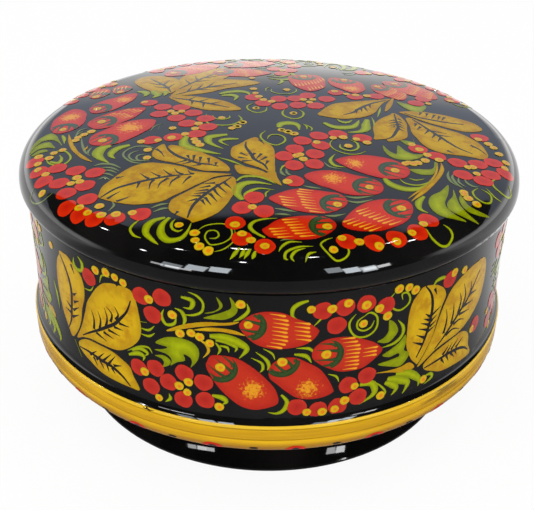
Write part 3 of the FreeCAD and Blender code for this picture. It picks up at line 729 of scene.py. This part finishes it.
WALL_LEAVES = [
    ([-83,52.5, -86.5,58.5, -88.5,65.5, -89,71, -88.5,76.5, -87,81.5, -84.5,85, -84,86.5, -79,86.5, -76.5,85,
      -74,83.5, -71.5,81, -70.5,77, -71,72.5, -73,67, -74.5,61, -77,55.5, -80.5,51, -82,51],
     [-84,85, -81.5,81, -79.5,76, -79,70.5, -80,64, -81,58.5, -83.5,53.5],
     [[-77,84, -75.5,80.5], [-78,70.5, -75.5,72.5], [-78,67.5, -74.5,69.5], [-79,63.5, -75,66.5], [-80,60, -75.5,63],
      [-80.5,64, -83.5,65.5], [-81,61.5, -84.5,62]]),
    ([-78,52, -74.5,58.5, -71.5,66, -69.5,71.5, -66.5,76, -63.5,80, -59.5,83.5, -54,85, -54,82, -53,85, -48,85,
      -46,81.5, -45,76, -44.5,70, -45.5,65.5, -48.5,61.5, -53,58, -57,56.5, -64,56, -69.5,55.5, -74,54],
     [-74,55, -68.5,59, -64,62, -60,65, -56,68, -53,71.5, -50,75.5, -48,80.5],
     [[-67,61, -66.5,65.5, -67.5,69], [-64,62, -63,66.5, -64,70], [-60.5,65, -59.5,69, -60.5,73],
      [-58,68, -57,71.5, -59.5,74], [-55.5,70, -54,72.5, -55.5,75.5], [-54,69, -49.5,69], [-56.5,66.5, -52.5,66.5],
      [-59.5,64, -54,63.5], [-62,62, -57,61], [-66,60, -60.5,58.5]]),
    ([-77,50.5, -74,53, -70,54.5, -64,55, -58.5,55, -54,53.5, -50.5,51.5, -49,48, -46.5,43, -50.5,42.5, -59.5,42.5,
      -65,43, -70.5,45, -74.5,46.5, -77,48.5],
     [-76.5,48.5, -70.5,49, -64,48.5, -58.5,48, -54,46, -50.5,43],
     [[-70.5,48, -66.5,51.5], [-67,47.5, -62.5,52.5], [-64,48, -59,53.5], [-61,48, -57,53.5], [-58,49, -54,50.5],
      [-68.5,48, -66.5,45], [-65,48, -63,45], [-61.5,48, -60.5,45], [-59,47.5, -57.5,45.5]]),
    ([56.5,53, 54,56, 51.5,62, 51,68.5, 51,75.5, 52,80.5, 54,83.5, 56,85.5, 60,85, 63.5,83.5, 66.5,81, 68,77.5,
      66.5,73.5, 65,68, 63.5,62, 60.5,56.5, 57.5,52.5],
     [57,85.5, 60,81.5, 61.5,76.5, 61.5,71, 60.5,65.5, 59,60.5, 56.5,55.5],
     [[61.5,83, 63,80], [61,71.5, 58.5,73.5], [61,70, 58,71.5], [61,68, 57,70], [60.5,66, 56,68],
      [59.5,63, 55.5,65.5], [58.5,60.5, 54,63], [61.5,71.5, 66,74], [61.5,69, 64.5,71], [61.5,67, 64.5,68.5],
      [60.5,65, 64.5,66.5]]),
    ([57.5,51, 61,56.5, 64,62.5, 66.5,70, 69,76, 71.5,79.5, 76,82, 81,83.5, 87,84, 91,83.5, 93.5,81, 95,76, 95,70,
      93.5,65, 89.5,61, 84,58, 78.5,56.5, 71.5,56, 66,55, 62,53],
     [65.5,55.5, 69.5,58.5, 74,62.5, 78.5,66.5, 81.5,68.5, 85,73, 89,79],
     [[69.5,60.5, 70.5,66, 69.5,71], [73.5,63, 74,68, 73.5,72], [77,66, 78,71, 76.5,75],
      [79.5,67.5, 80.5,72.5, 78.5,78], [83.5,70, 84,73.5, 83.5,77], [71,59, 75,60, 79.5,58],
      [75,62, 78.5,62.5, 82,61], [78,65, 85,64], [80.5,67.5, 87,67], [84,71, 89,70.5]]),
    ([60.5,50.5, 64,53, 69,54.5, 76,55.5, 81.5,55.5, 85.5,53.5, 87.5,50.5, 88,46.5, 90,41.5, 84,41.5, 76,42.5,
      70,43.5, 65,46, 61.5,48],
     [61,49, 68.5,49.5, 75,49.5, 80.5,48.5, 85,46.5, 88,44],
     [[70.5,50.5, 74,53.5], [73,50, 76,53.5], [75.5,50.5, 79.5,53.5], [78.5,50, 83,52.5], [70,49, 72,46],
      [73,49, 74.5,46], [75.5,49, 78,46], [78,49, 79.5,46.5]]),
    ([-34.5,72.5, -30,75.5, -25.5,77.5, -20,79, -14,79.5, -9,80.5, -11.5,79, -17,78, -23,76.5, -28.5,74.5,
      -33,72.5], [], []),
    ([39.5,54.5, 45,54, 50,54, 53.5,54.5, 56,51.5, 51,51, 45.5,53], [], [])]
WALL_GREEN_COMMAS = [
    (2, [-28.5,87.5, -25,87, -24.5,85.5, -25.5,83.5, -28,83.5]),
    (3.6, [-19,73.5, -14,73.5, -9.5,72, -6.5,69.5, -9,65.5]), (2, [-17,72, -13.5,72, -10,70, -10.5,68]),
    (1.2, [-15.5,70, -13,69.5, -12.5,67.5]), (1.2, [-17,71, -15.5,68.5, -16.5,66]),
    (2, [-50.5,57, -46.5,59, -44,58.5, -44.5,56.5]), (1.8, [-49,59.5, -45.5,61.5, -42.5,60.5, -43.5,59]),
    (2.2, [-18.5,48.5, -15,48, -13.5,46.5, -15,45]), (1.8, [5.5,50.5, 7.5,47.5, 6.5,44, 4,42.5, 1,43]),
    (1.8, [13.5,89, 10.5,88, 8.5,86, 8.5,83, 10.5,81.5]), (3, [33.5,51, 38,50.5, 39.5,47.5, 38.5,45, 33.5,42.5]),
    (3, [43.5,49, 46.5,47.5, 48.5,45, 46.5,42.5]), (3.6, [44.5,50.5, 49.5,48.5, 53.5,45.5, 51.5,41.5]),
    (3.6, [48,51.5, 53,50, 56.5,47.5, 59,44.5, 58.5,42]), (1.8, [9.5,67.5, 13.5,66.5, 15.5,63.5])]
WALL_GREEN_LINES = [
    (0.9, [-26,90, -23,89, -21,86.5, -21.5,83, -24.5,81, -28.5,80.5]), (1.2, [-6.5,88, -6,85, -8.5,82, -11,80.5]),
    (1.2, [-35,81, -36,78, -34.5,75, -31.5,76, -30.5,79]), (1.4, [-31,82.5, -28.5,81.5, -27.5,78.5, -28.5,75.5]),
    (1, [-45,73, -42,73.5]), (1, [-45,70.5, -41.5,70.5, -39,73]), (1, [-45,68, -41.5,68, -39,70]),
    (0.8, [-51,58.5, -46,62, -42,63, -40.5,61]), (1.4, [-34.5,45.5, -34,43.5, -36,41.5]),
    (1.2, [-3.5,68.5, 0,65.5, 1,63, 0.5,61]), (1, [-5,66, -1.5,64, -1,61.5, -2,60]), (0.8, [-1,70, 2,68, 3,65.5]),
    (0.8, [18.5,84, 18,81.5, 15.5,78.5]),
    (0.8, [30,81.5, 28,78.5, 28.5,75, 31,72, 35,71.5, 38,74, 38,78.5, 35.5,81, 33.5,80.5]),
    (0.7, [37,77.5, 36,75, 33.5,74, 31,75.5, 31,78.5, 34,80.5]), (1.3, [46.5,75, 49,71.5, 49,68, 46,65.5, 41,65]),
    (0.8, [39,51, 42,48, 44,45, 43.5,43.5]),
    (0.8, [44,87, 42,84, 44,80.5, 47,79, 50,80.5, 50.5,83, 49,85.5, 47,85.5, 47.5,83]),
    (0.9, [21.5,58, 24.5,56.5, 25.5,54]), (1.2, [10,70, 14.5,69.5, 16.5,67]),
    (1.4, [60.5,84, 62,86, 65.5,86, 68.5,84]), (1.5, [-74.5,88, -75,85, -73,83.5, -70.5,84.5, -70,87.5, -72,89.5]),
    (0.7, [-61.5,83, -60,86.5, -56.5,87]), (0.7, [-70.5,77, -67,77.5, -65,80]),
    (1.4, [60.5,45, 64.5,45, 65.5,43, 61.5,41.5]), (1.6, [-93,70, -91,64, -90,58]), (1.6, [-80,50, -76,44])]
WALL_GREEN_SHAPES = [
    [-21,80.5, -17,82.5, -14,84, -11.5,86, -12,90, -9.5,86, -10.5,83, -13.5,81, -17,80.5],
    [-20.5,82.5, -17,84, -15.5,86, -16.5,89.5, -14.5,87, -15,85, -18,83],
    [-39,66, -36.5,68.5, -33.5,70, -29,70.5, -25,69.5, -23,67, -23,64, -24,61.5, -26,59, -25.5,61, -26,63, -28.5,64,
     -28,61.5, -31,60, -33.5,58, -33,60.5, -35,62.5, -39.5,63, -36.5,64, -34.5,65.5],
    [-39.5,60.5, -36,61.5, -33.5,60, -34,58, -36.5,56.5, -36,58.5, -37,60],
    [43,76, 45.5,74, 47,70.5, 45.5,68, 43,66.5, 39,68, 41.5,69, 43,71, 43,73.5],
    [41.5,61.5, 44.5,63, 48,65, 50.5,67.5, 51,64, 50.5,61, 53,59, 52,56.5, 49.5,54.5, 45.5,55.5, 40,58, 44.5,58.5,
     48.5,59, 48,60.5, 44.5,60]]
WALL_GOLD_LINES = [
    (1.4, [-24.5,75, -20,76, -15,76.5, -10.5,76, -7,75]), (1, [-23.5,71.5, -20.5,70, -19.5,67, -21.5,64])]


# Paint colours

def painted(name, rim, middle, dab=None, patch=None, sheen=0.5):
    """Opaque paint under the same lacquer: its colour runs from the middle to the rim with brush variation."""
    g = Surface(name)
    uneven = (g.noise(*BRUSH_GRAIN) - 0.5) * 0.9
    colour = g.mix(g.attribute("tone").math("ADD", uneven, clamp=True), middle, rim)
    if dab:
        sponge = g.attribute("dab") * 0.55 + g.noise(*SPONGE_GRAIN)
        colour = g.mix(sponge.ramp(0.72, 0.94) * 0.9, colour, dab)
    if patch:
        colour = g.mix(g.noise(*PAINT_PATCHES).ramp(0.42, 0.66), colour, patch)
    g.bsdf.inputs["Specular IOR Level"].default_value = sheen
    return g.lacquered(colour)


# Layer of the film, material and slot
PAINTS = {
    "strokes_dull": (0, painted("dull_green_paint", (0.085, 0.115, 0.030), (0.16, 0.20, 0.05)), "black_lacquer"),
    "fronds_green": (1, painted("green_paint", (0.17, 0.20, 0.002), (0.31, 0.36, 0.003), sheen=0.18),
                     "black_lacquer"),
    "leaves_gold": (1, painted("gold_leaf_paint", (0.36, 0.20, 0.003), (0.48, 0.29, 0.003),
                               patch=(0.36, 0.18, 0.003), sheen=0.13), "gold_lacquer"),
    "berries_red": (2, painted("berry_paint", (0.54, 0.020, 0.002), (0.40, 0.009, 0.002), sheen=0.34),
                    "black_lacquer"),
    "strawberries": (2, painted("strawberry_paint", (0.42, 0.010, 0.002), (0.52, 0.022, 0.003),
                                dab=(0.70, 0.30, 0.008), sheen=0.34), "black_lacquer"),
    "veins_dark": (3, painted("vein_paint", (0.010, 0.008, 0.004), (0.004, 0.003, 0.002)), "black_lacquer"),
    "crowns_green": (3, painted("crown_paint", (0.012, 0.030, 0.006), (0.028, 0.062, 0.012)), "black_lacquer"),
    "seeds_orange": (3, painted("seed_paint", (0.60, 0.20, 0.006), (0.76, 0.32, 0.010)), "black_lacquer"),
    "dots_yellow": (4, painted("dot_paint", (0.46, 0.30, 0.004), (0.66, 0.46, 0.008), sheen=0.3), "black_lacquer"),
    "dot_hearts": (5, painted("dot_heart_paint", (0.64, 0.24, 0.006), (0.60, 0.17, 0.005)), "black_lacquer"),
}
# Wall copies of the lid's paints: the reds are darker, as painted shade on the upright wall; the gold leaf is lighter
# and glossier than the lid's
WALL_PAINTS = {
    "leaves_gold": painted("wall_gold_leaf_paint", (0.40, 0.24, 0.003), (0.54, 0.33, 0.004), patch=(0.40, 0.20, 0.003),
                           sheen=0.28),
    "berries_red": painted("wall_berry_paint", (0.44, 0.022, 0.010), (0.34, 0.012, 0.007)),
    "strawberries": painted("wall_strawberry_paint", (0.36, 0.012, 0.004), (0.44, 0.022, 0.006),
                            dab=(0.66, 0.29, 0.008)),
}


# Motifs, in millimetres

BERRY_R = 3.45
DOT_R, DOT_VARIES = 1.65, 0.15
STRAWBERRY_GRID = 1.6
SEED_GAP = 1.6
SEED_COMBS = ((0.47, 7), (0.79, 5))
CROWN_R, CROWN_BREADTH, CROWN_THICK = 5.6, 5.9, 2.5
CROWN_FINGERS = (-4.6, -2.3, 1.6, 4.2)
VEIN_WIDTH = 1.15


class Painting:
    """All films of one body's painting; tall stretches its berries and slant tilts its combs of seeds."""

    def __init__(self, prefix, body, place, tall, slant):
        self.tall, self.slant = tall, slant
        self.films = {key: Film(prefix + "_" + key, body, place, layer) for key, (layer, *rest) in PAINTS.items()}

    def berries(self, places):
        for x, y in places:
            lean = math.atan2(y, x) - math.pi / 2 if self.tall > 1 else 0.0
            self.films["berries_red"].disc(x, y, BERRY_R, self.tall, lean)

    def dots(self, places):
        for x, y in places:
            size = DOT_R + DOT_VARIES * math.sin(9 * x + 5 * y)
            self.films["dots_yellow"].disc(x, y, size, count=14)
            self.films["dot_hearts"].disc(x + 0.15, y - 0.1, size * 0.5, count=10)

    def strawberry(self, outline, dot, sponge):
        loop = spline(outline, closed=True)
        self.films["strawberries"].shape(outline, STRAWBERRY_GRID, sponge)
        cx, cy = (sum(values) / len(loop) for values in zip(*loop))
        size = math.hypot(cx - dot[0], cy - dot[1])
        ux, uy = (cx - dot[0]) / size, (cy - dot[1]) / size

        def along(u, v):
            return dot[0] + ux * u - uy * v, dot[1] + uy * u + ux * v

        if not sponge:
            self.seeds(loop, along)
        self.crown(loop, along)
        self.dots([dot])

    def seeds(self, loop, along):
        """Two combs of tapered dashes across a strawberry, one at its middle and one near its tip."""
        length = next(u for u in range(6, 60) if not inside(along(u, 0), loop))
        for share, reach in SEED_COMBS:
            middle = share * length
            for row in range(-reach, reach + 1):
                v = SEED_GAP * row
                u = middle - 0.035 * v * v + self.slant * v + 0.4 * math.sin(5 * row + middle)
                line = [(*along(u - 2.9, v - 0.2), 0.12), (*along(u, v), 0.58), (*along(u + 1.9, v), 0.98),
                        (*along(u + 2.5, v), 0.3)]
                if all(inside(q[:2], loop) for q in line):
                    self.films["seeds_orange"].stroke(line)

    def crown(self, loop, along):
        """Crescent with fingers that point past the dot towards the stalk."""
        film = self.films["crowns_green"]
        line = [(*along(CROWN_R * math.cos(a) - 0.6, CROWN_BREADTH * math.sin(a)),
                 CROWN_THICK * math.cos(a + 0.25) + 0.1) for a in map(math.radians, range(-84, 85, 12))]
        film.stroke([q for q in line if inside(q[:2], loop)])
        for v in CROWN_FINGERS:
            line = [(*along(4.9 - 0.10 * v * v, 0.80 * v), 1.5), (*along(1.2, v), 0.95), (*along(-3.8, 1.05 * v), 0.12)]
            line = [q for q in spline(line, step=0.6) if inside(q[:2], loop)]
            if len(line) > 1:
                film.stroke(line)

    def leaf(self, outline, middle, sides):
        self.films["leaves_gold"].shape(outline)
        film = self.films["veins_dark"]
        if middle:
            last = len(middle) - 1
            film.stroke([(x, y, 0.45 + 0.9 * math.sin(math.pi * i / last)) for i, (x, y) in enumerate(middle)])
        for side in sides:
            film.stroke(vein(VEIN_WIDTH, side))

    def build(self, own):
        for key, (layer, mat, slot) in PAINTS.items():
            if self.films[key].faces:
                self.films[key].build(own.get(key, mat), slot)


def paint(art, motifs, change=lambda x, y: (x, y), keep=lambda x, y: True):
    """Paint one set of motifs after moving each by change, if keep accepts its first place."""
    berries, dots, strawberries, leaves, commas, lines, shapes, dull, gold = motifs

    def moved(flat):
        return [change(*p) for p in pairs(flat)]

    def kept(flat):
        return keep(*flat[:2])

    for key, entries, brush in (("strokes_dull", dull, tapered), ("leaves_gold", gold, tapered),
                                ("fronds_green", commas, comma), ("fronds_green", lines, tapered)):
        for width, line in entries:
            if kept(line):
                art.films[key].stroke(brush(width, moved(line)))
    for outline in filter(kept, shapes):
        art.films["fronds_green"].shape(moved(outline))
    for outline, middle, sides in leaves:
        if kept(outline):
            art.leaf(moved(outline), moved(middle), [moved(side) for side in sides])
    art.berries([change(*p) for p in pairs(berries) if keep(*p)])
    for outline, dot, sponge in strawberries:
        if kept(outline):
            art.strawberry(moved(outline), change(*dot), sponge and (*change(*sponge[:2]), sponge[2]))
    art.dots([change(*p) for p in pairs(dots) if keep(*p)])


def turned(degrees):
    c, s = math.cos(math.radians(degrees)), math.sin(math.radians(degrees))
    return lambda x, y: (c * x - s * y, s * x + c * y)


# The lid as photographed; its farthest edge repeats motifs of the near one
lid_art = Painting("lid", "lid", lid_place, 1.10, -0.45)
lid_motifs = (LID_BERRIES, LID_DOTS, LID_STRAWBERRIES, LID_LEAVES, LID_GREEN_COMMAS, LID_GREEN_LINES,
              LID_GREEN_SHAPES, LID_DULL_LINES, LID_GOLD_LINES)
paint(lid_art, lid_motifs)
paint(lid_art, lid_motifs, lambda x, y: (-x, -y), lambda x, y: y < -67 or (y < -56 and -45 < x < 12))
paint(lid_art, lid_motifs, turned(100), lambda x, y: x > 20 and y < -59.5 and x - y > 88)
paint(lid_art, lid_motifs, turned(-142), lambda x, y: x > 20 and y < -77 and x - y > 108)
lid_art.build({})

# The wall as photographed; its back repeats groups of the front, moved round by a step
wall_art = Painting("wall", "box", wall_place, 1.0, -0.18)
wall_motifs = (WALL_BERRIES, WALL_DOTS, WALL_STRAWBERRIES, WALL_LEAVES, WALL_GREEN_COMMAS,
               WALL_GREEN_LINES, WALL_GREEN_SHAPES, [], WALL_GOLD_LINES)
paint(wall_art, wall_motifs)
for step, low, high in ((149, -45, 50), (296, -95, -45), (306, -45, 50), (453, -95, -45), (463, -45, 50)):
    paint(wall_art, wall_motifs, lambda a, z: (a + step, z), lambda a, z: low <= a < high)
wall_art.build(WALL_PAINTS)


def turned_place(centre_r, centre_z, round_r):
    """Places on a turned half-round: a round it, v up along its profile from where it faces straight out."""
    def place(a, v, height):
        tilt, turn = v / round_r, a / BEAD_R - math.pi / 2
        r, z = centre_r + (round_r + height) * math.cos(tilt), centre_z + (round_r + height) * math.sin(tilt)
        return on_axis(r, turn, z) * MM, on_axis(math.cos(tilt), turn, math.sin(tilt))
    return place


# The bead: red ovals with dark hearts, dark marks between them and one crack on its ridge
bead_low = turned_place(BEAD_R - BEAD_LOWER_ROUND, BEAD_TOP_Z - BEAD_HEIGHT + BEAD_LOWER_ROUND, BEAD_LOWER_ROUND)
bead_ridge = turned_place(BEAD_R - BEAD_RIDGE_ROUND, BEAD_TOP_Z - BEAD_RIDGE_ROUND, BEAD_RIDGE_ROUND)
ovals = Film("bead_ovals_red", "box", bead_low)
hearts = Film("bead_hearts_dark", "box", bead_low, 1)
OVALS = 21
FIRST_OVAL = math.radians(6.4)
# Place up the round, half width, and height as a share of the width
OVAL = (-2.7, 3.6, 0.6)
HEART = (-2.6, 1.4, 0.65)
MARK_BETWEEN = (-1.7, 1.6, 0.36)
for index in range(OVALS):
    a = BEAD_R * (math.tau * index / OVALS + FIRST_OVAL)
    ovals.disc(a, *OVAL)
    hearts.disc(a, *HEART)
    hearts.disc(a + BEAD_R * math.pi / OVALS, *MARK_BETWEEN)
crack = Film("bead_crack_dark", "box", bead_ridge)
crack.stroke([(-44.0, 0.9, 0.3), (-43.5, 0.4, 0.55), (-42.6, 0.0, 0.5), (-42.0, -0.6, 0.25)])
crack.stroke([(-45.2, 0.25, 0.12), (-43.5, 0.2, 0.35), (-40.8, 0.25, 0.12)])
for film, paint_key in ((ovals, "berries_red"), (hearts, "veins_dark"), (crack, "veins_dark")):
    film.build(*PAINTS[paint_key][1:])

# Surroundings: pale floor, a grey wall behind the box, windows and small lamps on the near side

WHITE = (1.0, 1.0, 1.0)
FLOOR_SHADES = ((0.86, 0.86, 0.86), (0.90, 0.90, 0.90))
FLOOR_WHITENESS = 0.92
FLOOR_SHADE_IN_GLOSS = (0.22, 0.22, 0.23)
WALL_BEHIND = (0.58, 0.64, 0.78)
HORIZON_WHITE = (2.0, 2.0, 2.0)
DARK_ROOM = (0.010, 0.010, 0.011)
SOFT_LIGHT = (0.76, 0.76, 0.76)
WALL_EDGE_SLOPE = 0.85


def floor_material():
    """The camera sees a floor that is nearly white; in reflections it glows, with painted shade that makes it darker
    near the box.
    """
    g = Graph(bpy.data.materials.new("pale_floor"))
    matt = g.first("BsdfDiffuse", g.mix(g.noise(*FLOOR_GRAIN), *FLOOR_SHADES))
    seen = g.first("MixShader", FLOOR_WHITENESS, matt, g.first("Emission", WHITE, 1.0))
    x, y, z = g.split(g.place())
    away = y + x.math("ABSOLUTE") * 0.35
    # Painted shade: in reflections the floor glows grey near the box and white away from it
    in_gloss = g.first("Emission", g.mix(away.ramp(-0.02, 0.16), FLOOR_SHADE_IN_GLOSS, WHITE), 1.0)
    unseen = g.first("MixShader", g.ray("Glossy"), matt, in_gloss)
    g.node("OutputMaterial", g.first("MixShader", g.ray("Camera"), unseen, seen))
    return g.owner


def surroundings():
    """A white background for the camera, a soft grey light, and a room with a pale wall behind in reflections."""
    world = bpy.data.worlds.new("studio")
    bpy.context.scene.world = world
    g = Graph(world)
    x, y, z = g.split(g.place("Generated"))
    behind = (y * WALL_EDGE_SLOPE - z).ramp(-0.012, 0.012)
    room = g.mix(behind, DARK_ROOM, g.mix(z.ramp(0.26, 0.18), WALL_BEHIND, WHITE))
    room = g.mix(z.ramp(0.20, 0.08) * y.ramp(-0.45, -0.10), room, HORIZON_WHITE)
    colour = g.mix(g.ray("Camera"), g.mix(g.ray("Glossy"), SOFT_LIGHT, room), WHITE)
    g.node("OutputWorld", g.first("Background", colour, 1.0))


def area_light(name, azimuth, elevation, width, height, radiance, distance=2.0, in_gloss=True, at=(0.0, 0.0, 0.1)):
    """A soft panel seen from the box at an azimuth from the front, positive to the right, and an elevation."""
    light = bpy.data.lights.new(name, "AREA")
    light.shape = "RECTANGLE"
    light.size, light.size_y = width, height
    light.energy = radiance * math.pi * width * height
    o = bpy.data.objects.new(name, light)
    bpy.context.scene.collection.objects.link(o)
    a, e = math.radians(azimuth), math.radians(elevation)
    away = Vector((math.sin(a) * math.cos(e), -math.cos(a) * math.cos(e), math.sin(e)))
    o.location = Vector(at) + away * distance
    o.rotation_mode = "QUATERNION"
    o.rotation_quaternion = away.to_track_quat("Z", "Y")
    o.visible_camera = False
    o.visible_glossy = in_gloss
    return o


surroundings()

bpy.ops.mesh.primitive_circle_add(vertices=96, radius=4.0, fill_type="NGON", location=(0, 0, 0))
floor = bpy.context.object
floor.name = "floor"
floor.data.materials.append(floor_material())

# Two windows of three panes, as their highlights on the lid's shoulder place them: each pane stands close to the spot
# that shows it, so that from other sides it covers little of the painting. They are as bright as windows only in the
# gloss, and a panel between them gives their soft light. Width, then x and y of each spot in millimetres, azimuth,
# elevation and radiance.
PANE_AWAY, PANE_TALL = 0.07, 0.0235
DAYLIGHT = (0.86, 0.94, 1.0)
WINDOWS = {
    "left": (0.0163, ((-31, -94, -40.6, 17.8, 5), (-23, -96, -30.9, 26.2, 11), (-15, -97.5, -21.2, 30.4, 12))),
    "right": (0.0124, ((21, -96, 29.4, 29.3, 6), (27, -95, 36.0, 21.0, 14), (32.5, -93.5, 42.7, 15.7, 12))),
}
for side, (width, panes) in WINDOWS.items():
    for index, (x, y, azimuth, elevation, radiance) in enumerate(panes):
        pane = area_light("window_%s_%d" % (side, index), azimuth, elevation, width, PANE_TALL, radiance, PANE_AWAY,
                          at=(x * MM, y * MM, 0.1))
        pane.visible_diffuse = False
        pane.data.color = DAYLIGHT
area_light("window_glow", 0.0, 17.0, width=1.4, height=0.7, radiance=2.9, in_gloss=False)

CEILING_LAMPS = ((-108, 49), (-63, 42), (-93, 69), (-172, 60), (-17, 64), (67, 78), (126, 60), (107, 55))
LAMP_WIDE, LAMP_RADIANCE = 0.07, 70.0
for index, (azimuth, elevation) in enumerate(CEILING_LAMPS):
    area_light("ceiling_lamp_%d" % index, azimuth, elevation, LAMP_WIDE, LAMP_WIDE, LAMP_RADIANCE)

# The same windows as the foot's cove shows them, from close by: place, elevation, height of a pane, azimuths
FOOT_WINDOWS = {
    "left": ((-0.037, -0.065, 0.012), 32.5, 0.022, (-41.0, -34.0, -28.0)),
    "right": ((0.045, -0.062, 0.012), 34.0, 0.036, (35.0, 42.0)),
}
FOOT_PANE_WIDE, FOOT_PANE_AWAY = 0.024, 0.26
FOOT_PANE_RADIANCES = (8.0, 13.0, 10.0)
for side, (at, elevation, tall, azimuths) in FOOT_WINDOWS.items():
    for index, (azimuth, radiance) in enumerate(zip(azimuths, FOOT_PANE_RADIANCES)):
        area_light("foot_window_%s_%d" % (side, index), azimuth, elevation, FOOT_PANE_WIDE, tall, radiance,
                   FOOT_PANE_AWAY, at=at)
area_light("key_softbox", -35.0, 62.0, width=1.4, height=1.4, radiance=1.1, distance=2.2, in_gloss=False)

# Camera at the photograph's angle

CAMERA_AT = (0.0, -0.33771, 0.25068)
CAMERA_TURN = (59.003, -0.831, 0.556)
camera_data = bpy.data.cameras.new("camera")
camera = bpy.data.objects.new("camera", camera_data)
bpy.context.scene.collection.objects.link(camera)
camera.location = CAMERA_AT
camera.rotation_euler = [math.radians(angle) for angle in CAMERA_TURN]
camera_data.sensor_fit = "HORIZONTAL"
camera_data.sensor_width = 36.0
camera_data.lens = 60.67
camera_data.clip_start = 0.01
bpy.context.scene.camera = camera
bpy.context.scene.view_settings.view_transform = "Standard"
